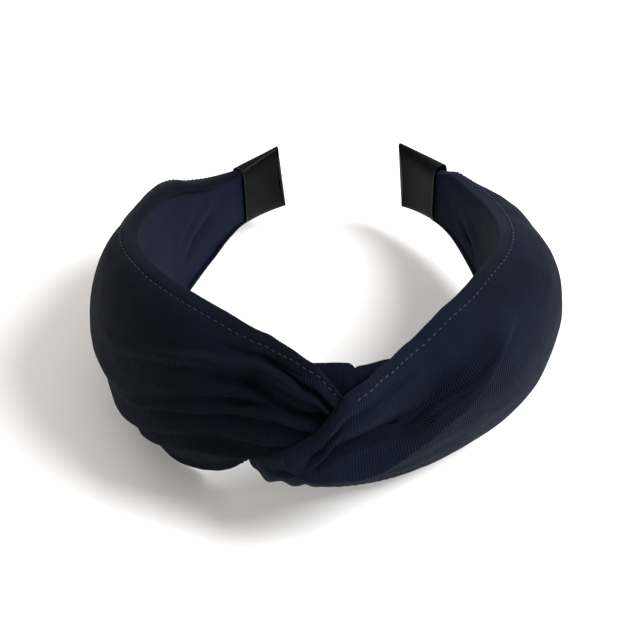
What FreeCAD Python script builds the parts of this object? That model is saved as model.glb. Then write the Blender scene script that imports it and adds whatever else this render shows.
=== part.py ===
import FreeCAD, Part
import Sketcher
import math
import os

from FreeCAD import Placement, Rotation, Vector

# A knotted headband lying on its lower edges: +Z up, the knot at -Y, the two tips at +Y.
# The origin is the centre of the base of its bounding box. All lengths are millimetres.

DRIVING_DIMENSIONS = {
    # the springy strip, standing on edge in a horizontal ring
    "front_reach": 64.15,       # strip's front centre to the origin, along -Y
    "strip_thick": 1.8,
    "strip_tall": 18,
    "strip_middle": 25.5,       # height of the strip's centre line
    "crown_radius": 58,
    "crown_turn": 46,           # degrees, from the front centre to the flexing point
    "shoulder_radius": 69,
    "shoulder_turn": 39,
    "side_radius": 87,
    "side_turn": 31,
    "tail_radius": 99.5,
    "tail_turn": 27,
    "flex_gap": 0.1,            # between the two halves of a flexing point
    "flex_setback": 0.45,       # crown's end to the flexing axis
    # the cloth
    "cloth_thick": 1.0,
    "lining_thick": 0.8,
    "lining_gap": 0.5,
    "left_full_top": 62.7,      # highest point of the left cover
    "right_full_top": 56,
    "left_full_reach": 14.45,    # how far the left cover stands out from the strip
    "right_full_reach": 13.3,
    "neck_low": 14.9,           # cover's lower edge where it enters the sleeve
    "neck_high": 36.1,
    "neck_reach": 2.4,
    "rim_lean": -1.4,           # where the cover's edges lie at the neck, outwards positive
    "knot_half": 14,            # half the length of strip that the knot covers
    "knot_reach": 13,
    "thread_radius": 0.3,
    "thread_gap": 0.15,         # between a row of thread and the cloth it lies on
    "wrap_top": 54.6,           # top of the cloth turned back over the strip
    "wrap_low": 14,
    # the sleeves on the tips
    "sleeve_long": 18.5,
    "tip_tall": 26.6,
    "mouth_tall": 23,
    "mouth_thick": 7.0,
    "tip_thick": 3.8,
    "sleeve_wall": 0.8,
    "tip_hollow": 1.4,          # depth of the concave end
    "strip_overrun": 14.5,      # strip's length inside the sleeve
}

STATIONS_ALONG_COVER = 15
PROFILE_STEPS = 12
STITCH_TURN = 66        # degrees round a cover's section, from its middle to its rows of thread


def make_sheet(doc):
    sheet = doc.addObject("Spreadsheet::Sheet", "Sizes")
    for row, (name, value) in enumerate(DRIVING_DIMENSIONS.items(), start=1):
        sheet.set("A%d" % row, name)
        sheet.set("B%d" % row, str(value))
        sheet.setAlias("B%d" % row, name)
    doc.recompute()
    return sheet


class StripPath:
    """Plan of the strip's centre line, as arcs that follow each other from the front centre."""

    def __init__(self, sheet):
        self.front = -sheet.front_reach
        self.arcs = [
            (sheet.crown_radius, sheet.crown_turn),
            (sheet.shoulder_radius, sheet.shoulder_turn),
            (sheet.side_radius, sheet.side_turn),
            (sheet.tail_radius, sheet.tail_turn),
        ]
        self.length = sum(radius * math.radians(turn) for radius, turn in self.arcs)

    def at(self, distance):
        """Point and heading (radians) at a distance from the front centre, left negative."""
        x = 0.0
        y = self.front
        heading = 0.0
        left_over = abs(distance)
        for radius, turn in self.arcs:
            angle = min(left_over / radius, math.radians(turn))
            x += radius * (math.sin(heading + angle) - math.sin(heading))
            y += radius * (math.cos(heading) - math.cos(heading + angle))
            heading += angle
            left_over = max(left_over - radius * angle, 0.0)
        side = -1 if distance < 0 else 1
        return Vector(side * x, y, 0), side * heading

    def place(self, distance, outwards, height):
        """A point beside the strip, `outwards` from its centre line."""
        point, heading = self.at(distance)
        outward = Vector(math.sin(heading), -math.cos(heading), 0)
        return point + outward * outwards + Vector(0, 0, height)

    def flex_distance(self):
        radius, turn = self.arcs[0]
        return radius * math.radians(turn)


def between(keys, position):
    """Smooth value at a position, from hand-set (position, value) keys in rising order."""
    if position <= keys[0][0]:
        return keys[0][1]
    if position >= keys[-1][0]:
        return keys[-1][1]
    slopes = [0.0]
    for before, here, after in zip(keys, keys[1:], keys[2:]):
        rise = (here[1] - before[1]) / (here[0] - before[0])
        next_rise = (after[1] - here[1]) / (after[0] - here[0])
        same_way = rise * next_rise > 0
        slopes.append(2 * rise * next_rise / (rise + next_rise) if same_way else 0.0)
    slopes.append(0.0)
    index = max(i for i, key in enumerate(keys) if key[0] <= position)
    start, end = keys[index], keys[index + 1]
    span = end[0] - start[0]
    part = (position - start[0]) / span
    return ((1 + 2 * part) * (1 - part) ** 2 * start[1] + part ** 2 * (3 - 2 * part) * end[1]
            + span * part * (1 - part) ** 2 * slopes[index]
            - span * part ** 2 * (1 - part) * slopes[index + 1])


def left_cover_keys(sheet):
    """How the left cover's section changes, by share of the way from front centre to tip."""
    return {
        "low": [(0.07, 26), (0.13, 12.5), (0.18, 5), (0.25, 1), (0.33, 0.05), (0.5, 3), (0.67, 4),
                (0.8, 7.5), (0.9, sheet.neck_low)],
        "high": [(0.07, 58), (0.16, 61), (0.28, sheet.left_full_top), (0.5, 58), (0.67, 51.5),
                 (0.78, 42), (0.84, 38), (0.9, sheet.neck_high)],
        "low_lean": [(0.07, 3), (0.18, -1), (0.37, 3), (0.5, 0), (0.7, -4), (0.9, sheet.rim_lean)],
        "high_lean": [(0.07, -6.5), (0.17, -8), (0.33, -5), (0.5, -2), (0.75, -2),
                      (0.9, sheet.rim_lean)],
        "reach": [(0.07, 10), (0.17, 12), (0.38, sheet.left_full_reach), (0.5, 13), (0.67, 8),
                  (0.8, 4.5), (0.9, sheet.neck_reach)],
        "widest": [(0.0, 0.5)],
        "squareness": [(0.0, 2.2), (0.43, 2.1), (0.57, 1.7), (0.7, 2.5), (0.8, 4), (0.9, 6)],
        "low_squareness": [(0.0, 2), (0.08, 1.6), (0.22, 1.4), (0.35, 1.3), (0.5, 1.5), (0.67, 2.2),
                           (0.8, 4), (0.9, 6)],
    }


def right_cover_keys(sheet):
    return {
        "low": [(0.07, 4.4), (0.18, 6), (0.33, 6.4), (0.5, 10), (0.67, 13), (0.8, 14.2),
                (0.9, sheet.neck_low)],
        "high": [(0.07, 53), (0.165, 52.2), (0.27, 55.7), (0.36, sheet.right_full_top), (0.5, 54),
                 (0.67, 46.4), (0.8, 40.4), (0.9, sheet.neck_high)],
        "low_lean": [(0.07, -4), (0.33, -5), (0.6, -8), (0.75, -6), (0.9, sheet.rim_lean)],
        "high_lean": [(0.07, 4.5), (0.12, -2), (0.165, -7), (0.27, -10), (0.36, -10.6), (0.5, -8),
                      (0.67, -6), (0.9, sheet.rim_lean)],
        "reach": [(0.07, 12), (0.12, 10.5), (0.33, 12), (0.43, sheet.right_full_reach), (0.5, 12.5),
                  (0.67, 8), (0.8, 4.5), (0.9, sheet.neck_reach)],
        "widest": [(0.0, 0.57), (0.25, 0.62), (0.43, 0.55), (0.6, 0.5)],
        "squareness": [(0.0, 2.2), (0.6, 2.5), (0.8, 4), (0.9, 6)],
        "low_squareness": [(0.0, 1.3), (0.25, 1.3), (0.37, 1.5), (0.5, 2), (0.8, 4), (0.9, 6)],
    }


def section_at(keys, share):
    return {name: between(values, share) for name, values in keys.items()}


def rounded(value, squareness):
    """Superellipse law: 2 is round, larger is squarer."""
    return math.copysign(abs(value) ** (2 / squareness), value)


def cover_point(section, turn, inset):
    """(outwards, height) on a cover's section; turn runs from -90 at the low rim to 90.

    `widest` is the share of the height at which the cover stands out furthest."""
    squareness = section["low_squareness"] if turn < 0 else section["squareness"]
    rise = rounded(math.sin(math.radians(turn)), squareness)
    widest = section["widest"]
    share = widest + rise * (widest if turn < 0 else 1 - widest)
    rim_lean = section["low_lean"] + share * (section["high_lean"] - section["low_lean"])
    middle_lean = (section["low_lean"] + section["high_lean"]) / 2
    bulge = section["reach"] - middle_lean - inset
    outwards = rim_lean + bulge * rounded(math.cos(math.radians(turn)), squareness)
    low = section["low"] + inset
    high = section["high"] - inset
    return outwards, low + share * (high - low)


def cover_profile(section, inset):
    turns = [-90 + 180 * step / PROFILE_STEPS for step in range(PROFILE_STEPS + 1)]
    return [cover_point(section, turn, inset) for turn in turns]


def wire_through(sides):
    """Closed wire of one smooth curve per side; neighbouring sides are joined by lines."""
    curves = []
    for points in sides:
        curve = Part.BSplineCurve()
        curve.interpolate(points)
        curves.append(curve)
    edges = []
    for index, curve in enumerate(curves):
        following = curves[(index + 1) % len(curves)]
        edges.append(curve.toShape())
        edges.append(Part.LineSegment(curve.EndPoint, following.StartPoint).toShape())
    return Part.Wire(edges)


def spread(start, end, count):
    return [start + (end - start) * step / (count - 1) for step in range(count)]


def sheet_between_profiles(path, distances, outer_of, inner_of):
    """Solid cloth sheet: two profiles of (outwards, height) points at each distance."""
    wires = []
    for distance in distances:
        outer = [path.place(distance, *point) for point in outer_of(distance)]
        inner = [path.place(distance, *point) for point in inner_of(distance)]
        wires.append(wire_through([outer, inner[::-1]]))
    return Part.makeLoft(wires, True, False)


def cover_shape(path, sheet, keys, side):
    start = sheet.knot_half
    end = path.length - sheet.sleeve_long + sheet.cloth_thick
    distances = spread(start, end, STATIONS_ALONG_COVER)

    def outer(distance):
        return cover_profile(section_at(keys, abs(distance) / path.length), 0)

    def inner(distance):
        return cover_profile(section_at(keys, abs(distance) / path.length), sheet.cloth_thick)

    return sheet_between_profiles(path, [side * d for d in distances], outer, inner)


def lining_shape(path, sheet, keys, side):
    """Inner cloth: it hangs between the cover's two rims and passes just inside the strip."""
    start = sheet.knot_half
    end = path.length - sheet.sleeve_long + sheet.cloth_thick
    distances = spread(start, end, STATIONS_ALONG_COVER)
    strip_low = sheet.strip_middle - sheet.strip_tall / 2
    strip_high = sheet.strip_middle + sheet.strip_tall / 2
    inside_strip = -(sheet.strip_thick / 2 + sheet.lining_gap)
    rim_clear = sheet.cloth_thick + sheet.lining_gap

    def middle_line(distance):
        section = section_at(keys, abs(distance) / path.length)
        low = section["low"] + 2 * rim_clear
        high = section["high"] - rim_clear
        low_lean = min(section["low_lean"], 0)
        high_lean = min(section["high_lean"], 0) + rim_clear / 2
        passing = min(inside_strip, (section["low_lean"] + section["high_lean"]) / 2)
        return [
            (min(low_lean, inside_strip), min(low, strip_low)),
            (passing, strip_low + 1),
            (passing, sheet.strip_middle),
            (passing, strip_high - 1),
            (min(high_lean, inside_strip), max(high, strip_high)),
        ]

    def outer(distance):
        return middle_line(distance)

    def inner(distance):
        return [(out - sheet.lining_thick, height) for out, height in middle_line(distance)]

    return sheet_between_profiles(path, [side * d for d in distances], outer, inner)


def right_loop_shape(path, sheet):
    """End of the right cover: its upper edge dives across the front, over the left one."""
    reach = sheet.knot_half - 0.4
    keys = {
        "low": [(-reach, 9.5), (-8, 6), (0, 4), (reach, 4.4)],
        "high": [(-reach, 29), (-8, 33), (-2, 37.5), (3, 43), (9, 51.5), (reach, 53)],
        "low_lean": [(-reach, -2), (reach, -4)],
        "high_lean": [(-reach, 4), (-4, 8), (4, 8), (9, 6.5), (reach, 4.5)],
        "reach": [(-reach, 8.5), (-4, 12), (6, sheet.knot_reach), (reach, 12)],
        "widest": [(-reach, 0.5), (-4, 0.56)],
        "squareness": [(-reach, 2.2)],
        "low_squareness": [(-reach, 1.5), (0, 1.3)],
    }

    def outer(distance):
        return cover_profile(section_at(keys, distance), 0)

    def inner(distance):
        return cover_profile(section_at(keys, distance), sheet.cloth_thick)

    return sheet_between_profiles(path, spread(-reach, reach, 9), outer, inner)


def left_loop_shape(path, sheet):
    """Gathered end of the left cover, a flat bundle that passes under the right one."""
    near = -(sheet.knot_half - 0.4)
    far = 8
    front = [(near, 8.5), (-5, 9), (0, 6), (far, 4.5)]
    low = [(near, 33), (-6, 37), (far, 38)]
    high = [(near, 52.6), (-4, 52.2), (2, 46), (far, 44)]
    back = sheet.strip_thick / 2 + sheet.lining_gap

    def outer(distance):
        out = between(front, distance)
        bottom = between(low, distance)
        top = between(high, distance)
        corner = (top - bottom) / 5
        return [(back + 1, bottom), (out - 1, bottom + corner), (out, (bottom + top) / 2),
                (out - 1, top - corner), (back + 1, top)]

    def inner(distance):
        bottom = between(low, distance) + 1
        top = between(high, distance) - 1
        return [(back, bottom), (back, (bottom + top) / 2), (back, top)]

    return sheet_between_profiles(path, spread(near, far, 7), outer, inner)


def wrap_shape(path, sheet):
    """End of the left cover turned back up behind the strip and over its upper edge."""
    reach = sheet.knot_half - 0.4
    back = -(sheet.strip_thick / 2 + 2 * sheet.lining_gap)
    thick = sheet.cloth_thick
    front = sheet.strip_thick / 2 + 2 * thick
    low = sheet.wrap_low
    top = sheet.wrap_top
    middle = sheet.strip_middle
    inner_line = [(back, low), (back, middle), (back, top - 12), (back + thick, top - 4),
                  (0.5, top - 1.4 * thick), (front, top - thick)]
    outer_line = [(back - thick, low), (back - thick, middle), (back - thick, top - 11),
                  (back - thick / 2, top - 3.4), (0, top), (front, top + 0.4 * thick)]

    def at(line):
        return lambda distance: line

    return sheet_between_profiles(path, spread(-reach, reach, 5), at(outer_line), at(inner_line))


def stitching_shape(path, sheet, keys, side, turn, cover):
    """One row of thread lying on a cover, a little way in from its rim."""
    start = sheet.knot_half + 1
    end = path.length - sheet.sleeve_long - 1
    lift = sheet.thread_radius + sheet.thread_gap
    points = []
    for distance in spread(start, end, 2 * STATIONS_ALONG_COVER):
        section = section_at(keys, distance / path.length)
        out, height = cover_point(section, turn, 0)
        next_out, next_height = cover_point(section, turn + 0.5, 0)
        slope = math.atan2(next_height - height, next_out - out)
        clear_out = out + 2 * sheet.cloth_thick * math.sin(slope)
        clear_height = height - 2 * sheet.cloth_thick * math.cos(slope)
        outside = path.place(side * distance, clear_out, clear_height)
        touch = cover.distToShape(Part.Vertex(outside))[1][0][0]
        points.append(touch + (outside - touch).normalize() * lift)
    curve = Part.BSplineCurve()
    curve.interpolate(points)
    tangent = curve.tangent(curve.FirstParameter)[0]
    ring = Part.Circle(points[0], tangent, sheet.thread_radius)
    spine = Part.Wire(curve.toShape())
    return spine.makePipeShell([Part.Wire(ring.toShape())], True, False)


def origin_plane(body, role):
    return next(feature for feature in body.Origin.OriginFeatures if feature.Role == role)


def new_body(doc, name):
    body = doc.addObject("PartDesign::Body", name)
    body.Label = name
    return body


def new_sketch(body, name, role):
    sketch = body.newObject("Sketcher::SketchObject", name)
    sketch.AttachmentSupport = (origin_plane(body, role), [""])
    sketch.MapMode = "FlatFace"
    return sketch


def strip_outline(path, start, end, half_thick):
    """Edges of a stretch of strip seen from above, from its outer side round to its inner."""
    borders = [0.0]
    for radius, turn in path.arcs:
        borders.append(borders[-1] + radius * math.radians(turn))
    inside = [border for border in borders if abs(start) < border < abs(end)]
    side = -1 if end < 0 else 1
    stops = [start] + [side * border for border in inside] + [end]
    edges = []
    for offset in (half_thick, -half_thick):
        for first, last in zip(stops, stops[1:]):
            a = path.place(first, offset, 0)
            b = path.place((first + last) / 2, offset, 0)
            c = path.place(last, offset, 0)
            edges.append(Part.Arc(a, b, c))
    return edges


def pad_upright(body, sketch, name):
    """Pads a plan outline to the strip's height, equally above and below its middle."""
    pad = body.newObject("PartDesign::Pad", name)
    pad.Profile = sketch
    pad.Midplane = True
    pad.setExpression("Length", "Sizes.strip_tall")
    body.setExpression("Placement.Base.z", "Sizes.strip_middle")
    return pad


def make_crown(doc, path, sheet):
    """Front stretch of the strip, with a round seat for each arm at its ends."""
    body = new_body(doc, "hoop_crown")
    sketch = new_sketch(body, "CrownPlan", "XY_Plane")
    half_thick = sheet.strip_thick / 2
    end = path.flex_distance() - sheet.flex_setback
    outer = Part.Arc(*[path.place(d, half_thick, 0) for d in (-end, 0, end)])
    inner = Part.Arc(*[path.place(d, -half_thick, 0) for d in (end, 0, -end)])
    sketch.addGeometry(outer)
    sketch.addGeometry(inner)
    sketch.addGeometry(Part.LineSegment(path.place(end, half_thick, 0), path.place(end, -half_thick, 0)))
    sketch.addGeometry(Part.LineSegment(path.place(-end, -half_thick, 0), path.place(-end, half_thick, 0)))
    pad_upright(body, sketch, "CrownPad")
    doc.recompute()
    seats = new_sketch(body, "SeatPlan", "XY_Plane")
    for side in (-1, 1):
        axis_point = path.place(side * path.flex_distance(), 0, 0)
        index = seats.addGeometry(Part.Circle(axis_point, Vector(0, 0, 1), half_thick))
        radius = seats.addConstraint(Sketcher.Constraint("Radius", index, half_thick))
        seats.setExpression("Constraints[%d]" % radius, "Sizes.strip_thick / 2 + Sizes.flex_gap")
    pocket = body.newObject("PartDesign::Pocket", "SeatPocket")
    pocket.Profile = seats
    pocket.Type = "ThroughAll"
    pocket.Midplane = True
    return body


def make_arm(doc, path, sheet, name, side):
    """One arm of the strip, from its round end on the flexing axis to its tip."""
    body = new_body(doc, name)
    sketch = new_sketch(body, name + "_plan", "XY_Plane")
    half_thick = sheet.strip_thick / 2
    start = side * path.flex_distance()
    end = side * (path.length - sheet.sleeve_long + sheet.strip_overrun)
    for edge in strip_outline(path, start, end, half_thick):
        sketch.addGeometry(edge)
    nose = [path.place(start, half_thick, 0), path.place(start - side * half_thick, 0, 0),
            path.place(start, -half_thick, 0)]
    sketch.addGeometry(Part.Arc(*nose))
    sketch.addGeometry(Part.LineSegment(path.place(end, half_thick, 0), path.place(end, -half_thick, 0)))
    pad_upright(body, sketch, name + "_pad")
    return body


def bind_corners(sketch, corners):
    """Closed outline whose corners are (x, y) formulas of the sheet's names."""
    points = [Vector(float(sketch.evalExpression(x)), float(sketch.evalExpression(y)), 0)
              for x, y in corners]
    for point, following in zip(points, points[1:] + points[:1]):
        sketch.addGeometry(Part.LineSegment(point, following))
    for index in range(len(points)):
        following = (index + 1) % len(points)
        sketch.addConstraint(Sketcher.Constraint("Coincident", index, 2, following, 1))
    for index, (point, formulas) in enumerate(zip(points, corners)):
        for kind, size, formula in (("DistanceX", point.x, formulas[0]),
                                    ("DistanceY", point.y, formulas[1])):
            if formula == "0":
                axis = -2 if kind == "DistanceX" else -1
                sketch.addConstraint(Sketcher.Constraint("PointOnObject", index, 1, axis))
                continue
            number = sketch.addConstraint(Sketcher.Constraint(kind, index, 1, size))
            sketch.setExpression("Constraints[%d]" % number, formula)


def make_sleeve(doc, path, sheet, name, side):
    """Flat tapering sleeve over a tip: X runs from its mouth to its concave end."""
    body = new_body(doc, name)
    outline = new_sketch(body, name + "_plan", "XY_Plane")
    bind_corners(outline, [
        ("0", "Sizes.mouth_thick / 2"),
        ("Sizes.sleeve_long", "Sizes.tip_thick / 2"),
        ("Sizes.sleeve_long", "-Sizes.tip_thick / 2"),
        ("0", "-Sizes.mouth_thick / 2"),
    ])
    pad = body.newObject("PartDesign::Pad", name + "_pad")
    pad.Profile = outline
    pad.Midplane = True
    pad.setExpression("Length", "Sizes.tip_tall")
    doc.recompute()
    hollow = new_sketch(body, name + "_hollow", "XY_Plane")
    bind_corners(hollow, [
        ("0", "Sizes.mouth_thick / 2 - Sizes.sleeve_wall"),
        ("Sizes.strip_overrun + Sizes.flex_gap", "Sizes.tip_thick / 2 - Sizes.sleeve_wall / 2"),
        ("Sizes.strip_overrun + Sizes.flex_gap", "-Sizes.tip_thick / 2 + Sizes.sleeve_wall / 2"),
        ("0", "-Sizes.mouth_thick / 2 + Sizes.sleeve_wall"),
    ])
    pocket = body.newObject("PartDesign::Pocket", name + "_inside")
    pocket.Profile = hollow
    pocket.Midplane = True
    pocket.setExpression("Length", "Sizes.mouth_tall - 2 * Sizes.sleeve_wall")
    doc.recompute()
    for edge, sign in (("top", ""), ("bottom", "-")):
        slant = new_sketch(body, name + "_" + edge + "_slant", "XZ_Plane")
        bind_corners(slant, [
            ("0", sign + "Sizes.mouth_tall / 2"),
            ("Sizes.sleeve_long", sign + "Sizes.tip_tall / 2"),
            ("0", sign + "Sizes.tip_tall / 2"),
        ])
        trim = body.newObject("PartDesign::Pocket", name + "_" + edge + "_trim")
        trim.Profile = slant
        trim.Midplane = True
        trim.Type = "ThroughAll"
        doc.recompute()
    end = new_sketch(body, name + "_end", "XZ_Plane")
    half_tall = sheet.tip_tall / 2
    hollow_radius = (half_tall ** 2 + sheet.tip_hollow ** 2) / (2 * sheet.tip_hollow)
    centre = Vector(sheet.sleeve_long - sheet.tip_hollow + hollow_radius, 0, 0)
    index = end.addGeometry(Part.Circle(centre, Vector(0, 0, 1), hollow_radius))
    number = end.addConstraint(Sketcher.Constraint("Radius", index, hollow_radius))
    end.setExpression("Constraints[%d]" % number,
                      "(Sizes.tip_tall ^ 2 / 4 + Sizes.tip_hollow ^ 2) / (2 * Sizes.tip_hollow)")
    cut = body.newObject("PartDesign::Pocket", name + "_concave_end")
    cut.Profile = end
    cut.Midplane = True
    cut.Type = "ThroughAll"
    mouth, heading = path.at(side * (path.length - sheet.sleeve_long))
    middle = path.place(side * (path.length - sheet.sleeve_long / 2), 0, 0)
    run = middle - mouth
    body.Placement = Placement(Vector(mouth.x, mouth.y, sheet.strip_middle),
                               Rotation(Vector(0, 0, 1), math.degrees(math.atan2(run.y, run.x))))
    return body


def add_cloth(doc, name, shape):
    piece = doc.addObject("Part::Feature", name)
    piece.Label = name
    piece.Shape = shape
    piece.Placement = Placement()
    return piece


def save_pieces(doc, pieces):
    os.makedirs("parts", exist_ok=True)
    for item in doc.Objects:
        if "Invalid" in item.State or "Error" in item.State:
            raise RuntimeError("%s did not build: %s" % (item.Label, item.State))
    for piece in pieces:
        shape = piece.Shape
        if shape.isNull() or not shape.isValid() or shape.Volume <= 0:
            raise RuntimeError("%s has no sound solid" % piece.Label)
        shape.exportStep("parts/%s.step" % piece.Label)
        print("%-24s %8.0f mm3  %d solid(s)" % (piece.Label, shape.Volume, len(shape.Solids)))


def main():
    doc = FreeCAD.newDocument("KnottedHeadband")
    sheet = make_sheet(doc)
    path = StripPath(sheet)
    left_keys = left_cover_keys(sheet)
    right_keys = right_cover_keys(sheet)
    pieces = [
        make_crown(doc, path, sheet),
        make_arm(doc, path, sheet, "hoop_left_arm", -1),
        make_arm(doc, path, sheet, "hoop_right_arm", 1),
        make_sleeve(doc, path, sheet, "left_end_cap", -1),
        make_sleeve(doc, path, sheet, "right_end_cap", 1),
        add_cloth(doc, "left_lining", lining_shape(path, sheet, left_keys, -1)),
        add_cloth(doc, "right_lining", lining_shape(path, sheet, right_keys, 1)),
        add_cloth(doc, "right_knot_loop", right_loop_shape(path, sheet)),
        add_cloth(doc, "left_knot_loop", left_loop_shape(path, sheet)),
        add_cloth(doc, "knot_wrap", wrap_shape(path, sheet)),
    ]
    for hand, side, keys in (("left", -1, left_keys), ("right", 1, right_keys)):
        cover = cover_shape(path, sheet, keys, side)
        pieces.append(add_cloth(doc, hand + "_panel", cover))
        for edge, turn in (("upper", STITCH_TURN), ("lower", -STITCH_TURN)):
            row = stitching_shape(path, sheet, keys, side, turn, cover)
            pieces.append(add_cloth(doc, "%s_%s_stitching" % (hand, edge), row))
    doc.recompute()
    save_pieces(doc, pieces)
    print("strip length, front centre to tip: %.1f" % path.length)


main()
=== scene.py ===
import math

import bpy
import numpy as np
from mathutils import Matrix, Vector


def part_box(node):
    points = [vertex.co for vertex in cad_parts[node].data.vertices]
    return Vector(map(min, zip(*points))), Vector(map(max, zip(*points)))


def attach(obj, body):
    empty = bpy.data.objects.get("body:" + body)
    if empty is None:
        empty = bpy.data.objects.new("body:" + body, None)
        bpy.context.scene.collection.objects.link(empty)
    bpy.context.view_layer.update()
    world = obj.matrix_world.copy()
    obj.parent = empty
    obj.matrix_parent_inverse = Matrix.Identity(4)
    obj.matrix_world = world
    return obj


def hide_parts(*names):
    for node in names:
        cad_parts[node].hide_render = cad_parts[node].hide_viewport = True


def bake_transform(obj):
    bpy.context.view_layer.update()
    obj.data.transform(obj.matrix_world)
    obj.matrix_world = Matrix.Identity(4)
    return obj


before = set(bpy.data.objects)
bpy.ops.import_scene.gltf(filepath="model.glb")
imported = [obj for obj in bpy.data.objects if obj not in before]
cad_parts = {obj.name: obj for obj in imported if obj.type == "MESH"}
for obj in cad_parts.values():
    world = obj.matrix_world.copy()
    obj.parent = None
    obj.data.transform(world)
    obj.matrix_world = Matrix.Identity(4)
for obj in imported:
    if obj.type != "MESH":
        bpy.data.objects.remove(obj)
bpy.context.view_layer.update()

# A knotted headband of ribbed jersey. The cloth is built in millimetres as sections
# across the springy strip, then written to meshes in metres.
MM = 0.001

# the thread of one stitch, how far it stands off the cloth and how deep its ends dive in
STITCH_PITCH = 2.35
STITCH_LONG = 1.65
STITCH_RADIUS = 0.26
STITCH_STAND = 0.12
STITCH_DIVE = 0.3
STITCH_RINGS = 7
STITCH_SIDES = 8

# the knit, and the cloths cut from it
RIB_PITCH = 0.8
LOOP_PITCH = 0.6
CLOTH_THICK = 0.55
LINING_THICK = 0.45
COVER_COLUMNS = 160
ROWS_PER_STRETCH = 150      # near the knot, and again from there to the sleeve
KNOT_STRETCH_END = 45
RIM_TUCK = 5
BESIDE_STRIP = 1.7          # the lining's place inside the strip's centre line
DIMPLE_AT = 143             # how far along the strip each lining's dimple lies
LOW_RIM_RADIUS = 1.0

# the sleeves on the tips
SLEEVE_LONG = 18.5
MOUTH_TALL = 23.4
TIP_TALL = 26.4
MOUTH_HALF_THICK = 3.3
TIP_HALF_THICK = 1.45
TIP_HOLLOW = 2.2
TIP_SLANT = 1.1

# the strip's plan: arcs (radius, degrees) from the front centre towards each tip
STRIP_ARCS = ((58, 46), (69, 39), (87, 31), (99.5, 27))
STRIP_HALF = sum(radius * math.radians(turn) for radius, turn in STRIP_ARCS)
STRIP_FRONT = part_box("hoop_crown")[0].y / MM + 0.9
STRIP_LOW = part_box("hoop_crown")[0].z / MM
STRIP_MIDDLE = sum(corner.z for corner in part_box("hoop_crown")) / 2 / MM


# ---------------------------------------------------------------- geometry helpers

def strip_point(distance):
    """x, y and heading (radians) on the strip; distance is negative to the left."""
    x, y, heading, left_over = 0.0, STRIP_FRONT, 0.0, abs(distance)
    for radius, turn in STRIP_ARCS:
        angle = min(left_over / radius, math.radians(turn))
        x += radius * (math.sin(heading + angle) - math.sin(heading))
        y += radius * (math.cos(heading) - math.cos(heading + angle))
        heading += angle
        left_over = max(left_over - radius * angle, 0.0)
    side = -1 if distance < 0 else 1
    return side * x, y, side * heading


def keyed(keys, positions):
    """Smooth values at positions, from given (position, value) keys in rising order."""
    at = np.array([key[0] for key in keys], float)
    value = np.array([key[1] for key in keys], float)
    if len(keys) == 1:
        return np.full(np.shape(positions), value[0])
    rise = np.diff(value) / np.diff(at)
    slope = np.zeros_like(value)
    for i in range(1, len(keys) - 1):
        if rise[i - 1] * rise[i] > 0:
            slope[i] = 2 * rise[i - 1] * rise[i] / (rise[i - 1] + rise[i])
    where = np.clip(positions, at[0], at[-1])
    index = np.clip(np.searchsorted(at, where, side="right") - 1, 0, len(keys) - 2)
    span = at[index + 1] - at[index]
    t = (where - at[index]) / span
    return ((1 + 2 * t) * (1 - t) ** 2 * value[index] + t ** 2 * (3 - 2 * t) * value[index + 1]
            + span * t * (1 - t) ** 2 * slope[index] - span * t ** 2 * (1 - t) * slope[index + 1])


def smooth(low, high, x):
    t = np.clip((x - low) / (high - low), 0, 1)
    return t * t * (3 - 2 * t)


def signed_power(value, power):
    return np.sign(value) * np.abs(value) ** power


def soft_noise(u, v, seed, scale, octaves=3):
    """Smooth wandering height, about -1 to 1, from a few turned sine waves."""
    random = np.random.default_rng(seed)
    total = np.zeros(np.broadcast(u, v).shape)
    weight = 0.0
    for octave in range(octaves):
        strength = 0.5 ** octave
        for _ in range(4):
            angle, phase = random.uniform(0, math.pi), random.uniform(0, 2 * math.pi)
            wave = 2 ** octave / scale * (math.cos(angle) * u + math.sin(angle) * v)
            total = total + strength * np.sin(2 * math.pi * wave + phase)
        weight += strength * 2
    return total / weight


def place(distances, outwards, heights):
    """Points in space: a row for each distance, from sections beside and above the strip."""
    base = np.array([strip_point(d) for d in distances])
    x, y, heading = base[:, 0, None], base[:, 1, None], base[:, 2, None]
    return np.stack([x + np.sin(heading) * outwards, y - np.cos(heading) * outwards,
                     np.broadcast_to(heights, outwards.shape)], axis=-1)


def grid_normals(points):
    along = np.gradient(points, axis=0)
    across = np.gradient(points, axis=1)
    normal = np.cross(along, across)
    return normal / np.maximum(np.linalg.norm(normal, axis=-1, keepdims=True), 1e-9)


def arc_lengths(section):
    """Running length along each row's section curve, from section points (rows, cols, 2)."""
    steps = np.linalg.norm(np.diff(section, axis=1), axis=-1)
    return np.concatenate([np.zeros((len(section), 1)), np.cumsum(steps, axis=1)], axis=1)


def new_mesh_object(name, vertices, faces, face_uvs=None):
    mesh = bpy.data.meshes.new(name)
    mesh.from_pydata((np.asarray(vertices) * MM).tolist(), [], faces)
    mesh.validate()
    if face_uvs is not None:
        layer = mesh.uv_layers.new(name="cloth")
        layer.data.foreach_set("uv", np.asarray(face_uvs, np.float32).ravel())
    piece = bpy.data.objects.new(name, mesh)
    bpy.context.scene.collection.objects.link(piece)
    mesh.polygons.foreach_set("use_smooth", [True] * len(mesh.polygons))
    return piece


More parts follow.
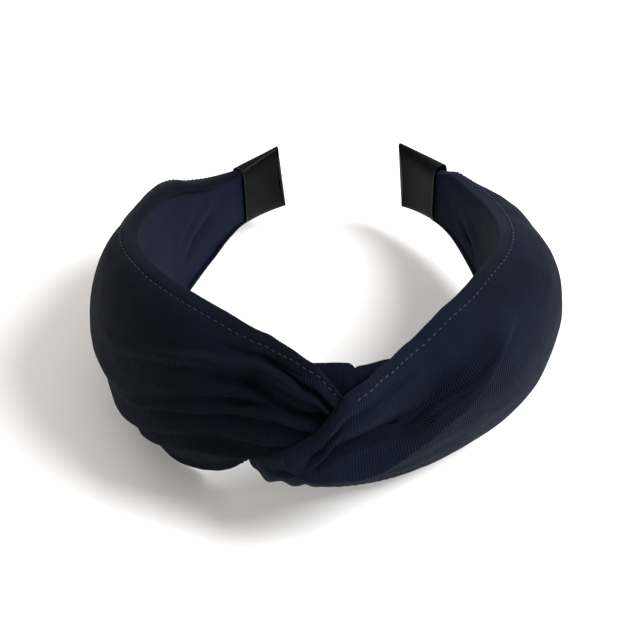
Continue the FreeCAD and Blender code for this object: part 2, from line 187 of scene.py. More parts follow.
def cloth_piece(name, points, uv, thick=CLOTH_THICK, outward_sign=1):
    """Closed sheet of cloth: the grid is its outer face, the inner lies `thick` behind it."""
    rows, cols = points.shape[:2]
    inner = points - outward_sign * grid_normals(points) * thick
    vertices = np.concatenate([points.reshape(-1, 3), inner.reshape(-1, 3)])
    count = rows * cols
    faces, corners = [], []

    def add(a, b, c, d):
        face = [a, b, c, d] if outward_sign > 0 else [d, c, b, a]
        faces.append(face)
        corners.extend(face)

    for i in range(rows - 1):
        for j in range(cols - 1):
            a, b = i * cols + j, (i + 1) * cols + j
            add(a, b, b + 1, a + 1)
            add(count + a + 1, count + b + 1, count + b, count + a)
    for i in range(rows - 1):
        for j, flip in ((0, True), (cols - 1, False)):
            a, b = i * cols + j, (i + 1) * cols + j
            edge = (a, b, count + b, count + a)
            add(*(edge if not flip else edge[::-1]))
    for j in range(cols - 1):
        for i, flip in ((0, False), (rows - 1, True)):
            a, b = i * cols + j, i * cols + j + 1
            edge = (a, b, count + b, count + a)
            add(*(edge if not flip else edge[::-1]))
    flat = np.concatenate([uv.reshape(-1, 2)] * 2)
    return new_mesh_object(name, vertices, faces, flat[corners] * MM)


# ---------------------------------------------------------------- cover sections

def outer_arc(low, high, low_lean, high_lean, reach, widest, squareness, low_squareness, turns):
    """Section of a cover from its low rim (turn -90) to its high rim (turn 90).

    `widest` is the share of its height at which it stands out furthest."""
    power = 2 / np.where(turns < 0, low_squareness, squareness)
    rise = signed_power(np.sin(turns), power)
    share = widest + rise * np.where(turns < 0, widest, 1 - widest)
    lean = low_lean + share * (high_lean - low_lean)
    bulge = reach - (low_lean + high_lean) / 2
    return lean + bulge * signed_power(np.cos(turns), power), low + share * (high - low)


def curled_rim(out, height, radius, steps, top):
    """Points that carry a section on round its rim, then tuck in behind it."""
    sign = 1 if top else -1
    angles = np.linspace(0, math.radians(200), steps + 1)[1:]
    curl_out = out - radius * np.sin(angles)
    curl_height = height - sign * radius * (1 - np.cos(angles))
    run = np.linspace(0, 1, 4)[1:] * RIM_TUCK
    tuck_out = curl_out[..., -1:] + run * (1 if top else 0.1)
    tuck_height = curl_height[..., -1:] - sign * run * (0.25 if top else 1)
    return np.concatenate([curl_out, tuck_out], -1), np.concatenate([curl_height, tuck_height], -1)


def cover_sections(keys, distances, rim_radius):
    """Section curves of a cover with both rims curled, and how many points each curl has."""
    turns = np.linspace(-math.pi / 2, math.pi / 2, COVER_COLUMNS)[None, :]
    value = {name: keyed(points, distances)[:, None] for name, points in keys.items()}
    out, height = outer_arc(value["low"], value["high"], value["low_lean"], value["high_lean"],
                            value["reach"], value["widest"], value["squareness"],
                            value["low_squareness"], turns)
    radius_top = keyed(rim_radius, distances)[:, None]
    top = curled_rim(out[:, -1:], height[:, -1:], radius_top, 7, True)
    radius_low = np.full_like(radius_top, LOW_RIM_RADIUS)
    low = curled_rim(out[:, :1], height[:, :1], radius_low, 6, False)
    out = np.concatenate([low[0][:, ::-1], out, top[0]], axis=1)
    height = np.concatenate([low[1][:, ::-1], height, top[1]], axis=1)
    return np.stack([out, height], axis=-1), len(low[0][0]), len(top[0][0])


def even_sections(section, first, last):
    """Respaces each row's points evenly by length between two columns, rims kept as they are."""
    result = section.copy()
    count = last - first + 1
    for row in range(len(section)):
        stretch = section[row, first:last + 1]
        length = np.concatenate([[0], np.cumsum(np.linalg.norm(np.diff(stretch, axis=0), axis=1))])
        even = np.linspace(0, length[-1], count)
        for axis in (0, 1):
            result[row, first:last + 1, axis] = np.interp(even, length, stretch[:, axis])
    return result


def section_normals(section):
    """Outward unit normals of the section curves, which run from the low rim to the high."""
    step = np.gradient(section, axis=1)
    step = step / np.maximum(np.linalg.norm(step, axis=-1, keepdims=True), 1e-9)
    return np.stack([step[..., 1], -step[..., 0]], axis=-1)


def fold_shape(fold, distances, heights, from_top):
    """Share (0 to 1) and height of one fold, a roll steeper on the side it turns under.

    Its line is a height on the cover, or with `from_rim` a distance down from the upper rim."""
    line = keyed(fold["line"], distances)[:, None]
    strength = keyed(fold["height"], distances)[:, None]
    offset = line - from_top if fold.get("from_rim") else heights - line
    upper = np.cos(np.clip(offset / fold["above"], 0, 1) * math.pi / 2) ** fold.get("fade", 2)
    lower = np.cos(np.clip(-offset / fold["below"], 0, 1) * math.pi / 2) ** 2
    share = np.where(offset >= 0, upper, lower)
    tallest = max(abs(key[1]) for key in fold["height"])
    return share * strength / tallest, share * strength


# ---------------------------------------------------------------- the two covers

LEFT_COVER = {
    "low": [(-10, 38), (-4, 36), (4, 33), (10, 30), (15, 24), (20, 17.5), (24, 12.5), (28, 9),
            (33, 5.2), (40, 2.6), (50, 1.2), (62, 1), (94, 3.4), (125, 4), (150, 6.8), (160, 10),
            (170, 12.4)],
    "high": [(-10, 47.8), (-5, 54.5), (-1, 59), (4, 59.3), (10, 58), (15, 58.2), (30, 61.3),
             (46, 62.7), (60, 62.5), (94, 58), (125, 51.5), (136, 47.6), (146, 42), (157, 37.5),
             (170, 34.8)],
    "low_lean": [(-10, 5), (0, 5), (10, 5), (20, 2), (33, -1), (45, 1), (70, 3), (94, 0),
                 (130, -4), (170, -1.4)],
    "high_lean": [(-10, 6.5), (-5, 5), (-1, 3.5), (4, -0.5), (10, -5.5), (15, -7.5), (30, -8),
                  (46, -7), (62, -5), (94, -2), (140, -2), (170, -1.4)],
    "reach": [(-10, 7.5), (0, 9), (10, 10), (20, 10.5), (32, 12), (70, 14.6), (94, 13),
              (125, 8), (150, 4.5), (170, 2.7)],
    "widest": [(-10, 0.5), (170, 0.5)],
    "squareness": [(-10, 2.2), (80, 2.1), (106, 1.55), (118, 1.8), (130, 2.5), (150, 4), (170, 5)],
    "low_squareness": [(-10, 2.0), (14, 1.6), (40, 1.3), (66, 1.15), (94, 1.5), (125, 2.2),
                       (150, 4), (170, 5)],
}
RIGHT_COVER = {
    "low": [(-19, 17), (-15, 12.6), (-12, 11.4), (-8, 11), (-4, 9.4), (0, 7.4),
            (8, 5), (20, 4.8), (35, 6), (47, 5.6), (62, 6), (94, 10), (125, 13.5), (150, 15),
            (170, 15.2)],
    "high": [(-19, 27), (-13, 29), (-8, 33), (-2, 38), (2.6, 42.8), (6, 48.5), (9, 52),
             (14.5, 53), (22, 52.6), (31, 52.2), (40, 54.4), (50, 55.8), (68, 56), (94, 54),
             (125, 46.4), (150, 40.4), (160, 39.8), (170, 36.4)],
    "low_lean": [(-19, -1), (0, -4), (30, -4), (90, -6), (112, -8), (140, -6), (170, -1.4)],
    "high_lean": [(-19, 0), (-13, 2.5), (-8, 8), (-2, 12), (3, 11.5), (9, 8.5), (14.5, 4.5), (18, 1),
                  (22, -1.7), (26, -4.5), (31, -7), (40, -8.7), (50, -10), (68, -10.6),
                  (94, -8), (125, -6), (150, -3), (170, -1.4)],
    "reach": [(-19, 3), (-15, 6), (-12, 9), (-8, 11.5), (-2, 13), (8, 13), (14, 12),
              (22, 10.5), (32, 10.5), (62, 12), (85, 13), (94, 12.5), (125, 8), (150, 4.5),
              (170, 2.7)],
    "widest": [(-19, 0.5), (-5, 0.56), (20, 0.6), (50, 0.62), (80, 0.55), (110, 0.5)],
    "squareness": [(-19, 2.2), (110, 2.5), (150, 4), (170, 5)],
    "low_squareness": [(-19, 1.6), (0, 1.45), (20, 1.35), (45, 1.5), (62, 1.75), (94, 2.1),
                       (150, 4), (170, 5)],
}
LEFT_RIM = [(-10, 1.2), (60, 1.0), (100, 1.9), (130, 2.3), (152, 1.8), (170, 0.9)]
RIGHT_RIM = [(-19, 1.0), (-5, 2.8), (6, 2.6), (14, 1.7), (24, 1.1), (170, 0.9)]

# Rolls (positive) and creases (negative). "line" is the height that each follows, "height" how
# far it stands out, "above" and "below" how soon it falls away, "droop" how far it hangs down,
# and "fade" (2 where it isn't given) how steeply its upper side falls away.
LEFT_FOLDS = (
    {"line": [(-9, 7.4), (-2.5, 8.2), (2.4, 8.8), (10.5, 9.8), (23, 13), (41, 20), (60, 27)],
     "from_rim": True, "above": 2.6, "below": 3.2, "droop": 0.6,
     "height": [(-10, 2.0), (0, 3.0), (12, 3.2), (28, 2.6), (45, 1.4), (70, 0)]},
    {"line": [(-9, 42), (-4, 44.4), (2, 46.6), (7, 49), (14, 50.4), (22, 50)], "above": 2.4,
     "below": 1.7, "droop": 0,
     "height": [(-10, -3.6), (-4, -4.6), (3, -4.4), (10, -2.8), (20, -1.0), (30, 0)]},
    {"line": [(-9, 5.6), (-2, 6.2), (5, 6.6), (12, 7), (24, 8.6)], "from_rim": True,
     "above": 1.4, "below": 2.4, "droop": 0,
     "height": [(-10, -2.8), (-2, -2.6), (6, -1.6), (16, -0.8), (30, 0)]},
    {"line": [(-4, 45), (2.6, 47), (9.3, 49.4), (16, 48.6), (24, 47), (40, 42)], "above": 2.2,
     "below": 1.7, "droop": 0.6,
     "height": [(-10, 2.0), (3, 2.8), (12, 2.8), (24, 1.6), (44, 0)]},
    {"line": [(-3, 41.8), (1, 43.4), (7.5, 45.6), (16.7, 44.6), (32, 39.5), (58, 28)], "above": 2.0,
     "below": 2.0, "droop": 0.6,
     "height": [(-10, 1.8), (2, 2.6), (14, 2.5), (34, 1.8), (66, 0)]},
    {"line": [(-4, 38), (2, 38.6), (6, 38.8), (11, 39), (19.5, 39), (31, 34.5), (46, 25.5),
              (70, 17)], "above": 4.6, "below": 1.5, "droop": 1.4,
     "height": [(-10, 1.2), (2, 2.4), (12, 3.0), (34, 3.0), (56, 2.4), (90, 0)]},
    {"line": [(4, 33.5), (8.3, 32.2), (20, 30), (25, 29), (43, 20), (60, 11), (80, 8)],
     "above": 3.6, "below": 2.2, "droop": 1.4,
     "height": [(0, 0.6), (10, 2.2), (24, 2.6), (42, 2.0), (60, 0.8), (80, 0)]},
    {"line": [(12, 25), (20, 20), (30, 12), (46, 7)], "above": 3, "below": 4, "droop": 0.5,
     "height": [(8, 0.6), (22, 1.4), (36, 1.0), (60, 0)]},
)
RIGHT_FOLDS = (
    {"line": [(-9, 36), (-4.6, 34), (-0.2, 33), (10.3, 32.6), (17.5, 34), (22.5, 36.4), (30, 39),
              (38, 41.8), (47, 45.4), (56, 49), (66, 51)], "above": 5, "below": 1.5, "droop": 2.2,
     "height": [(-11, 0.2), (-5, 1.8), (4, 3.8), (20, 5.2), (34, 5.2), (48, 3.4), (58, 1.2), (68, 0)]},
    {"line": [(1, 35.5), (3.9, 37), (10.7, 38.6), (21.6, 39.6), (26.7, 41), (32, 43), (42.5, 46),
              (60, 51)], "above": 10, "below": 1.2, "fade": 4, "droop": -4.4,
     "height": [(-2, 0), (4, -3.8), (11, -6.2), (24, -7.2), (34, -5.4), (44, -2.2), (58, 0)]},
    {"line": [(-5, 29), (-3, 29.5), (5, 30), (9.7, 31), (14, 30)], "above": 1.8, "below": 2.2,
     "droop": 0, "height": [(-8, 0), (-3, -1.0), (4, -1.4), (9, -0.8), (16, 0)]},
)
# the roll along the right cover's edge where it crosses the knot, with a crease beside it,
# and the pleats that fan out below it
EDGE_ROLL = [(-8, 0), (-2, 1.2), (4, 1.9), (12, 1.5), (26, 0.6), (48, 0)]
EDGE_ROLL_WIDTH = 6.5
FAN_PITCH = 6.5
FAN_HEIGHT = 0.45
UPPER_HEM = {-1: [(-10, 2.4), (2, 2.7), (12, 3.8), (30, 4)], 1: [(0, 3.8)]}
LOWER_HEM = [(0, 3.2)]


def build_cover(name, keys, rim, folds, side, first, last, seed):
    """The outer cloth of one side; returns the object and what the stitching needs."""
    distances = np.concatenate([
        np.linspace(first, KNOT_STRETCH_END, ROWS_PER_STRETCH, endpoint=False),
        np.linspace(KNOT_STRETCH_END, last, ROWS_PER_STRETCH)])
    section, low_count, top_count = cover_sections(keys, distances, rim)
    last_column = section.shape[1] - top_count - 1
    section = even_sections(section, low_count, last_column)
    length = arc_lengths(section)
    from_top = length[:, last_column, None] - length
    from_low = length - length[:, low_count, None]
    heights = section[..., 1]
    shapes = [fold_shape(fold, distances, heights, from_top) for fold in folds]
    lift = sum(shape[1] for shape in shapes)
    droop = sum(fold["droop"] * shape[0] for fold, shape in zip(folds, shapes))
    if side > 0:
        roll = keyed(EDGE_ROLL, distances)[:, None]
        across = np.clip(from_top / EDGE_ROLL_WIDTH, 0, 1)
        lift = lift + roll * np.sin(math.pi * across) ** 2
        lift = lift - 0.9 * roll * np.exp(-((from_top - EDGE_ROLL_WIDTH - 1) / 1.3) ** 2)
        fan = np.cos(2 * math.pi * (distances[:, None] + 0.35 * (30 - heights)) / FAN_PITCH)
        gather = smooth(31, 25, heights) * smooth(4, -4, distances)[:, None]
        lift = lift + FAN_HEIGHT * fan * gather
    near_knot = smooth(70, 20, distances)[:, None]
    along = distances[:, None]
    lift = lift + 0.35 * soft_noise(along, length, seed, 34) * (1 - 0.5 * near_knot)
    lift = lift + 0.22 * near_knot * soft_noise(along * 0.5, length, seed + 1, 11)
    inside = smooth(0.5, 5, from_top) * smooth(0.5, 5, from_low)
    lift = lift * inside
    upper_hem = keyed(UPPER_HEM[side], distances)
    lower_hem = keyed(LOWER_HEM, distances)
    for edge, hem in ((from_top, upper_hem), (from_low, lower_hem)):
        lift = lift - 0.3 * np.exp(-((edge - hem[:, None]) / 0.7) ** 2)
    toward_neck = smooth(last, last - 14, distances)[:, None]
    section = section + section_normals(section) * (lift * toward_neck)[..., None]
    section[..., 1] -= droop * inside * toward_neck
    points = place(side * distances, section[..., 0], section[..., 1])
    guide = points[:, last_column - COVER_COLUMNS // 4]
    run = np.concatenate([[0], np.cumsum(np.linalg.norm(np.diff(guide, axis=0), axis=-1))])
    uv = np.stack([np.broadcast_to(run[:, None], length.shape), length], axis=-1)
    piece = cloth_piece(name, points, uv, outward_sign=side)
    rows = {"upper": (points, from_top, last_column, upper_hem),
            "lower": (points, from_low, low_count, lower_hem)}
    return piece, rows


def along_hem(rows, side, edge):
    """The line of a hem's groove on the cover, and the outward direction at each point."""
    points, from_edge, rim_column, hem = rows[edge]
    normals = grid_normals(points) * side
    reach = 30
    if edge == "upper":
        columns = slice(rim_column - reach, rim_column + 1)
    else:
        columns = slice(rim_column, rim_column + reach + 1)
    path, up = [], []
    for row in range(points.shape[0]):
        away = from_edge[row, columns]
        order = np.argsort(away)
        path.append([np.interp(hem[row], away[order], points[row, columns, axis][order])
                     for axis in range(3)])
        up.append([np.interp(hem[row], away[order], normals[row, columns, axis][order])
                   for axis in range(3)])
    return np.array(path), np.array(up)


def stitch_row(name, rows, side, edge, start):
    """Separate stitches lying in the groove of a hem, each a short bent capsule of thread."""
    path, up = along_hem(rows, side, edge)
    length = np.concatenate([[0], np.cumsum(np.linalg.norm(np.diff(path, axis=0), axis=1))])
    vertices, faces = [], []
    centre = start
    while centre < length[-1] - STITCH_PITCH:
        base = len(vertices)
        for ring in range(STITCH_RINGS):
            share = ring / (STITCH_RINGS - 1) * 2 - 1
            at = centre + share * STITCH_LONG / 2
            spot = np.array([np.interp(at, length, path[:, axis]) for axis in range(3)])
            ahead = np.array([np.interp(at + 0.3, length, path[:, axis]) for axis in range(3)])
            normal = np.array([np.interp(at, length, up[:, axis]) for axis in range(3)])
            normal /= np.linalg.norm(normal)
            tangent = (ahead - spot) / max(np.linalg.norm(ahead - spot), 1e-9)
            beside = np.cross(tangent, normal)
            radius = STITCH_RADIUS * math.sqrt(max(1 - 0.92 * share ** 4, 0.02))
            middle = spot + normal * (STITCH_STAND - STITCH_DIVE * share ** 4)
            for corner in range(STITCH_SIDES):
                angle = 2 * math.pi * corner / STITCH_SIDES
                vertices.append(middle + radius * (math.cos(angle) * beside
                                                   + math.sin(angle) * normal))
        for ring in range(STITCH_RINGS - 1):
            for corner in range(STITCH_SIDES):
                a = base + ring * STITCH_SIDES + corner
                b = base + ring * STITCH_SIDES + (corner + 1) % STITCH_SIDES
                faces.append([a, b, b + STITCH_SIDES, a + STITCH_SIDES])
        faces.append([base + corner for corner in range(STITCH_SIDES)][::-1])
        last_ring = base + (STITCH_RINGS - 1) * STITCH_SIDES
        faces.append([last_ring + corner for corner in range(STITCH_SIDES)])
        centre += STITCH_PITCH
    return new_mesh_object(name, vertices, faces)


def build_lining(name, keys, side, first, last, seed):
    """Inner cloth, from under one rim to under the other, passing inside the strip."""
    inset = 1.4
    distances = np.linspace(first, last, 200)
    value = {key: keyed(points, distances)[:, None] for key, points in keys.items()}
    share = np.linspace(0, 1, 60)[None, :]
    low = np.minimum(value["low"] + inset, STRIP_LOW - 0.6)
    high = value["high"] - inset
    heights = low + share * (high - low)
    chord = value["low_lean"] + share * (value["high_lean"] - value["low_lean"]) + 0.2
    room = chord + BESIDE_STRIP
    inside_strip = -BESIDE_STRIP + (room - np.sqrt(room ** 2 + 1.5)) / 2
    near_strip = smooth(16, 9, np.abs(heights - STRIP_MIDDLE))
    out = chord + (inside_strip - chord) * near_strip
    middle = np.sin(math.pi * share)
    along = distances[:, None]
    dimple_line = 22 + 0.35 * (along - DIMPLE_AT - 2)
    beside_dimple = along - DIMPLE_AT
    dimple = np.exp(-((heights - dimple_line) / 2.2) ** 2 - (beside_dimple / 9) ** 2)
    ridge = np.exp(-((heights - dimple_line - 5) / 4) ** 2 - (beside_dimple / 11) ** 2)
    wrinkle = 0.6 * soft_noise(along, heights, seed, 75, 2)
    wrinkle = wrinkle + 0.15 * soft_noise(along, heights, seed + 1, 32, 2) + 0.9 * ridge
    out = out + 1.6 * dimple * middle
    out = out - np.abs(wrinkle) * middle * smooth(last, last - 12, distances)[:, None]
    section = np.stack([out, heights], axis=-1)
    points = place(side * distances, section[..., 0], section[..., 1])
    length = arc_lengths(section)
    uv = np.stack([np.broadcast_to(along, length.shape), length], axis=-1)
    return cloth_piece(name, points, uv, thick=LINING_THICK, outward_sign=-side)


def smooth_polyline(corners, count):
    """Evenly spaced points on a curve rounded near given corners, cut three times."""
    line = np.array(corners, float)
    for _ in range(3):
        quarter = line[:-1] * 0.75 + line[1:] * 0.25
        three = line[:-1] * 0.25 + line[1:] * 0.75
        line = np.concatenate([line[:1], np.stack([quarter, three], 1).reshape(-1, line.shape[1]),
                               line[-1:]])
    length = np.concatenate([[0], np.cumsum(np.linalg.norm(np.diff(line, axis=0), axis=1))])
    even = np.linspace(0, length[-1], count)
    return np.stack([np.interp(even, length, column) for column in line.T], axis=1)


def build_wrap():
    """Cloth turned back over the strip behind the crossing, and down its inner side."""
    columns, rows = 90, 80
    corner_at = 11.8            # the crease beside the crossing's upper corner
    distances = np.linspace(-15, 23, rows)
    top = keyed([(-15, 50), (-3, 53), (1, 53.5), (10.5, 53), (12.6, 50.6), (23, 51)], distances)
    profile = smooth_polyline([(4.5, -16), (3.8, -9), (2.2, -4), (0, -0.4), (-2.2, 0.5),
                               (-3.8, -1.5), (-4.5, -7), (-4.2, -22), (-4.2, -34),
                               (-2.6, -37.5), (0, -38.5)], columns)
    out = profile[None, :, 0] - 1.2 * smooth(11, 14, distances)[:, None]
    lowest = keyed([(-15, STRIP_LOW), (-8, STRIP_LOW - 1), (0, STRIP_LOW - 3)], distances)
    heights = np.maximum(top[:, None] + profile[None, :, 1], lowest[:, None])
    crease = np.exp(-((distances[:, None] - corner_at + 0.1 * (heights - 50)) / 1.1) ** 2)
    front = smooth(-3, 0, out)
    out = out - 1.3 * crease * front
    pleats = 0.5 * np.cos(2 * math.pi * distances[:, None] / 7.5 + 0.05 * heights)
    pleats = np.abs(pleats) * smooth(50, 42, heights)
    out = out - pleats * (1 - front) + 0.25 * soft_noise(distances[:, None], heights, 5, 12)
    section = np.stack([out, heights], axis=-1)
    points = place(distances, section[..., 0], section[..., 1])
    length = arc_lengths(section)
    uv = np.stack([np.broadcast_to(distances[:, None], length.shape), length], axis=-1)
    return cloth_piece("knot_wrap_cloth", points, uv, outward_sign=-1)


# ---------------------------------------------------------------- the sleeves

def sleeve_point(side, share, angle):
    """A point on a sleeve: `share` runs from its mouth to its end, `angle` round its section."""
    across = float(signed_power(math.sin(angle), 2 / 5.5))
    bulge = float(signed_power(math.cos(angle), 2 / 3.2))
    half_thick = MOUTH_HALF_THICK + (TIP_HALF_THICK - MOUTH_HALF_THICK) * smooth(0, 1, share) ** 0.7
    half_tall = MOUTH_TALL / 2 + (TIP_TALL - MOUTH_TALL) / 2 * share ** 1.4
    hollow = TIP_HOLLOW * (1 - across ** 2) * share ** 3
    slant = side * TIP_SLANT * across * share ** 2
    middle = STRIP_MIDDLE + (0.6 if side > 0 else -0.9) + 0.9 * side * (1 - share)
    ripple = 0.12 * math.sin(3.1 * across + 4 * share + side) * share
    distance = STRIP_HALF - SLEEVE_LONG + share * (SLEEVE_LONG + 0.6) - hollow + slant
    out = bulge * half_thick + ripple
    x, y, heading = strip_point(min(distance, STRIP_HALF))
    over = max(distance - STRIP_HALF, 0)
    x += over * math.cos(heading) + math.sin(heading) * out
    y += over * math.sin(heading) - math.cos(heading) * out
    return side * x, y, middle + across * half_tall


def build_sleeve(name, side):
    """Flat shrunk sleeve with a concave, pointed-cornered end and a pressed centre."""
    rows, ring = 26, 72
    vertices = [sleeve_point(side, row / (rows - 1), 2 * math.pi * corner / ring)
                for row in range(rows) for corner in range(ring)]
    faces = []
    for row in range(rows - 1):
        for corner in range(ring):
            a = row * ring + corner
            b = row * ring + (corner + 1) % ring
            face = [a, b, b + ring, a + ring]
            faces.append(face if side < 0 else face[::-1])
    for base, flip in ((0, side > 0), ((rows - 1) * ring, side < 0)):
        for step in range(1, ring // 2):
            a, b = base + step, base + step + 1
            c, d = base + ring - step - 1, base + ring - step
            face = [a, b, c, d] if b != c else [a, b, d]
            faces.append(face[::-1] if flip else face)
    return new_mesh_object(name, vertices, faces)


# ---------------------------------------------------------------- materials

def new_material(name):
    material = bpy.data.materials.new(name)
    material.use_nodes = True
    tree = material.node_tree
    return material, tree.nodes, tree.links, tree.nodes["Principled BSDF"]


def value_noise(nodes, links, source, scale, detail):
    noise = nodes.new("ShaderNodeTexNoise")
    noise.inputs["Scale"].default_value = scale
    noise.inputs["Detail"].default_value = detail
    links.new(source, noise.inputs["Vector"])
    return noise.outputs["Fac"]


def ramp(nodes, links, source, low, high, low_at=0.3, high_at=0.7):
    node = nodes.new("ShaderNodeValToRGB")
    node.color_ramp.elements[0].position = low_at
    node.color_ramp.elements[1].position = high_at
    node.color_ramp.elements[0].color = (*low, 1)
    node.color_ramp.elements[1].color = (*high, 1)
    links.new(source, node.inputs["Fac"])
    return node.outputs["Color"]


def calculate(nodes, links, operation, a, b=None):
    node = nodes.new("ShaderNodeMath")
    node.operation = operation
    for socket, value in zip(node.inputs, (a, b)):
        if value is None:
            continue
        if isinstance(value, (int, float)):
            socket.default_value = value
        else:
            links.new(value, socket)
    return node.outputs["Value"]


def add_bump(nodes, links, shader, height, strength, distance):
    bump = nodes.new("ShaderNodeBump")
    bump.inputs["Strength"].default_value = strength
    bump.inputs["Distance"].default_value = distance
    links.new(height, bump.inputs["Height"])
    links.new(bump.outputs["Normal"], shader.inputs["Normal"])


def vary_roughness(nodes, links, shader, patches, low, high):
    rough = nodes.new("ShaderNodeMapRange")
    rough.inputs["To Min"].default_value = low
    rough.inputs["To Max"].default_value = high
    links.new(patches, rough.inputs["Value"])
    links.new(rough.outputs["Result"], shader.inputs["Roughness"])


def ribbed_jersey(name, dark, light, rib_strength, sheen):
    """Fine ribs across the band, loops along each rib, a soft worn sheen, and painted shade darkening
    the base colour in the rib grooves.
    """
    material, nodes, links, shader = new_material(name)
    uv = nodes.new("ShaderNodeUVMap")
    uv.uv_map = "cloth"
    position = nodes.new("ShaderNodeTexCoord").outputs["Object"]
    split = nodes.new("ShaderNodeSeparateXYZ")
    links.new(uv.outputs["UV"], split.inputs["Vector"])
    waver = value_noise(nodes, links, position, 160, 2)
    shift = calculate(nodes, links, "MULTIPLY", waver, 1.6)
    turn = calculate(nodes, links, "MULTIPLY", split.outputs["X"], 2 * math.pi / (RIB_PITCH * MM))
    ribs = calculate(nodes, links, "SINE", calculate(nodes, links, "ADD", turn, shift))
    loop_turn = calculate(nodes, links, "MULTIPLY", split.outputs["Y"], 2 * math.pi / (LOOP_PITCH * MM))
    loops = calculate(nodes, links, "SINE", calculate(nodes, links, "ADD", loop_turn, shift))
    knit = calculate(nodes, links, "ADD", ribs, calculate(nodes, links, "MULTIPLY", loops, 0.25))
    fuzz = value_noise(nodes, links, position, 2600, 3)
    relief = calculate(nodes, links, "ADD", calculate(nodes, links, "MULTIPLY", knit, 0.5), fuzz)
    add_bump(nodes, links, shader, relief, rib_strength, 0.25 * MM)
    patches = value_noise(nodes, links, position, 45, 4)
    base = ramp(nodes, links, patches, dark, light)
    rib_groove_painted_shade = calculate(nodes, links, "MULTIPLY_ADD", ribs, 0.5)     # the addend stays 0.5
    # painted shade: the base colour is darkened in the grooves between the ribs, where the bump is low
    mix = nodes.new("ShaderNodeMix")
    mix.data_type = "RGBA"
    mix.blend_type = "MULTIPLY"
    mix.inputs["Factor"].default_value = 0.35
    links.new(base, mix.inputs["A"])
    links.new(ramp(nodes, links, rib_groove_painted_shade, (0.55, 0.55, 0.6), (1, 1, 1), 0.2, 0.8), mix.inputs["B"])
    links.new(mix.outputs["Result"], shader.inputs["Base Color"])
    vary_roughness(nodes, links, shader, patches, 0.62, 0.8)
    shader.inputs["Sheen Weight"].default_value = sheen
    shader.inputs["Sheen Roughness"].default_value = 0.45
    shader.inputs["Sheen Tint"].default_value = (0.55, 0.65, 1.0, 1)
    shader.inputs["Specular IOR Level"].default_value = 0.03
    return material


def thread_material(name, dark, light):
    material, nodes, links, shader = new_material(name)
    position = nodes.new("ShaderNodeTexCoord").outputs["Object"]
    patches = value_noise(nodes, links, position, 900, 2)
    links.new(ramp(nodes, links, patches, dark, light), shader.inputs["Base Color"])
    twist = value_noise(nodes, links, position, 4200, 1)
    add_bump(nodes, links, shader, twist, 0.82, 0.1 * MM)
    shader.inputs["Roughness"].default_value = 0.5
    shader.inputs["Sheen Weight"].default_value = 0.04
    shader.inputs["Specular IOR Level"].default_value = 0.15
    return material


def sleeve_material():
    """Satin black shrunk sleeve: faint pulled grain, rubbed lighter in patches."""
    material, nodes, links, shader = new_material("sleeve_film")
    position = nodes.new("ShaderNodeTexCoord").outputs["Object"]
    patches = value_noise(nodes, links, position, 130, 4)
    links.new(ramp(nodes, links, patches, (0.0015, 0.0018, 0.0018), (0.003, 0.0035, 0.0034)),
              shader.inputs["Base Color"])
    vary_roughness(nodes, links, shader, patches, 0.3, 0.46)
    grain = value_noise(nodes, links, position, 1500, 4)
    add_bump(nodes, links, shader, grain, 0.25, 0.1 * MM)
    shader.inputs["Specular IOR Level"].default_value = 0.05
    return material


def dress(piece, material):
    piece.data.materials.clear()
    piece.data.materials.append(material)


# ---------------------------------------------------------------- assembling the band

NAVY_DARK, NAVY_LIGHT = (0.0016, 0.0022, 0.0052), (0.0028, 0.0042, 0.0098)
# the right panel's navy, lighter than the left's: painted light on the side that faces the lamp
RIGHT_PAINTED_LIT_DARK, RIGHT_PAINTED_LIT_LIGHT = (0.0024, 0.0042, 0.009), (0.0044, 0.0078, 0.017)
# the lining's navy, lighter still: painted light on its inner face, which turns towards the lamp
LINING_PAINTED_LIT_DARK, LINING_PAINTED_LIT_LIGHT = (0.0042, 0.0062, 0.0145), (0.0064, 0.0095, 0.022)
# how far along its hem each row of stitches begins
FIRST_STITCH = {("left", "upper"): 2, ("left", "lower"): 28,
                ("right", "upper"): 52, ("right", "lower"): 28}


def build_side(hand, side, keys, rim, folds, first, jersey, seed):
    last = STRIP_HALF - SLEEVE_LONG + 1.5
    arm = hand + "_arm"
    panel, rows = build_cover(hand + "_panel_cloth", keys, rim, folds, side, first, last, seed)
    lining = build_lining(hand + "_lining_cloth", keys, side, 13, last, seed + 7)
    dress(panel, jersey)
    dress(lining, lining_cloth)
    pieces = [panel, lining]
    for edge in ("upper", "lower"):
        node = "%s_%s_stitching" % (hand, edge)
        row = stitch_row(node + "_thread", rows, side, edge, FIRST_STITCH[hand, edge])
        dress(row, left_thread if side < 0 else right_thread)
        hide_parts(node)
        pieces.append(row)
    sleeve = build_sleeve(hand + "_sleeve", side)
    dress(sleeve, sleeve_film)
    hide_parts(hand + "_end_cap")
    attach(sleeve, arm)
    for piece in pieces:
        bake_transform(piece)
    return panel, lining


left_jersey = ribbed_jersey("left_jersey", NAVY_DARK, NAVY_LIGHT, 0.8, 0.02)
# the right panel's lighter navy is painted light
right_jersey = ribbed_jersey("right_jersey", RIGHT_PAINTED_LIT_DARK, RIGHT_PAINTED_LIT_LIGHT, 0.7, 0.03)
# the lining's lighter navy is painted light
lining_cloth = ribbed_jersey("lining_jersey", LINING_PAINTED_LIT_DARK, LINING_PAINTED_LIT_LIGHT, 0.25, 0.03)
wrap_jersey = ribbed_jersey("wrap_jersey", NAVY_DARK, NAVY_LIGHT, 0.35, 0.01)
# the left stitches are darker than the right: painted shade, the same thread on the side away from the
# lamp
left_thread = thread_material("left_thread", (0.003, 0.0045, 0.011), (0.007, 0.01, 0.023))
right_thread = thread_material("right_thread", (0.006, 0.009, 0.022), (0.014, 0.02, 0.046))
sleeve_film = sleeve_material()

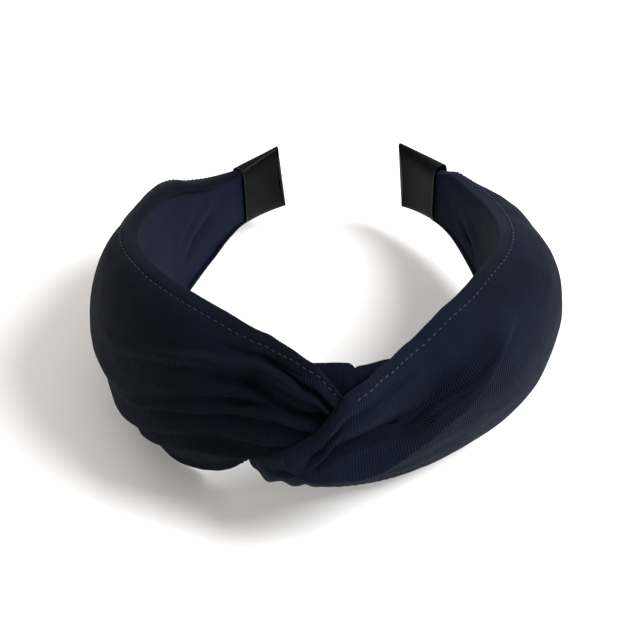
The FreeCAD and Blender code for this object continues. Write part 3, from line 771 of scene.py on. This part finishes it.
left_panel, left_lining = build_side("left", -1, LEFT_COVER, LEFT_RIM, LEFT_FOLDS, -10,
                                     left_jersey, 11)
right_panel, right_lining = build_side("right", 1, RIGHT_COVER, RIGHT_RIM, RIGHT_FOLDS, -19,
                                       right_jersey, 23)
wrap = build_wrap()
dress(wrap, wrap_jersey)
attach(wrap, "crown")
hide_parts("knot_wrap")
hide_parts("left_panel", "left_knot_loop")
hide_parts("right_panel", "right_knot_loop")
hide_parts("left_lining")
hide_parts("right_lining")

strip_plastic, _, _, strip_shader = new_material("strip_plastic")
strip_shader.inputs["Base Color"].default_value = (0.02, 0.02, 0.02, 1)
for node in ("hoop_crown", "hoop_left_arm", "hoop_right_arm"):
    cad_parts[node].data.materials.clear()
    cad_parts[node].data.materials.append(strip_plastic)


# ---------------------------------------------------------------- floor, light and camera

def build_floor():
    mesh = bpy.data.meshes.new("floor")
    far = 3.0
    corners = [(-far, -far, 0), (far, -far, 0), (far, far, 0), (-far, far, 0)]
    mesh.from_pydata(corners, [], [(0, 1, 2, 3)])
    floor = bpy.data.objects.new("floor", mesh)
    bpy.context.scene.collection.objects.link(floor)
    material, _, _, shader = new_material("floor_paper")
    shader.inputs["Base Color"].default_value = (0.86, 0.855, 0.85, 1)
    shader.inputs["Roughness"].default_value = 0.9
    mesh.materials.append(material)


def add_area_light(name, position, target, size, power, color):
    data = bpy.data.lights.new(name, "AREA")
    data.shape = "DISK"
    data.size = size
    data.energy = power
    data.color = color
    light = bpy.data.objects.new(name, data)
    light.location = position
    light.rotation_euler = (Vector(target) - Vector(position)).to_track_quat("-Z", "Y").to_euler()
    bpy.context.scene.collection.objects.link(light)


def add_camera():
    """Looks down on the band from the front, a little to the right of its middle."""
    elevation, azimuth, roll = math.radians(39.0), math.radians(-4.9), math.radians(-1.4)
    target = Vector((-4.8, STRIP_FRONT + 87.3, 0)) * MM
    distance = 421 * MM
    forward = Vector((math.sin(azimuth) * math.cos(elevation),
                      math.cos(azimuth) * math.cos(elevation), -math.sin(elevation)))
    right = forward.cross(Vector((0, 0, 1))).normalized()
    up = right.cross(forward)
    right_rolled = right * math.cos(roll) + up * math.sin(roll)
    up_rolled = up * math.cos(roll) - right * math.sin(roll)
    data = bpy.data.cameras.new("camera")
    data.sensor_fit = "HORIZONTAL"
    data.sensor_width = 36
    data.lens = 67.7
    data.clip_start = 0.01
    camera = bpy.data.objects.new("camera", data)
    turn = Matrix((right_rolled, up_rolled, -forward)).transposed().to_4x4()
    camera.matrix_world = Matrix.Translation(target - forward * distance) @ turn
    bpy.context.scene.collection.objects.link(camera)
    bpy.context.scene.camera = camera


def light_the_set():
    scene = bpy.context.scene
    world = bpy.data.worlds.new("studio")
    world.use_nodes = True
    world.node_tree.nodes["Background"].inputs["Color"].default_value = (1.0, 0.975, 0.94, 1)
    world.node_tree.nodes["Background"].inputs["Strength"].default_value = 0.88
    scene.world = world
    add_area_light("window", (0.66, -0.2, 0.78), (0, 0, 0.02), 0.42, 14, (0.96, 0.98, 1.0))
    scene.view_settings.view_transform = "Standard"


build_floor()
light_the_set()
add_camera()
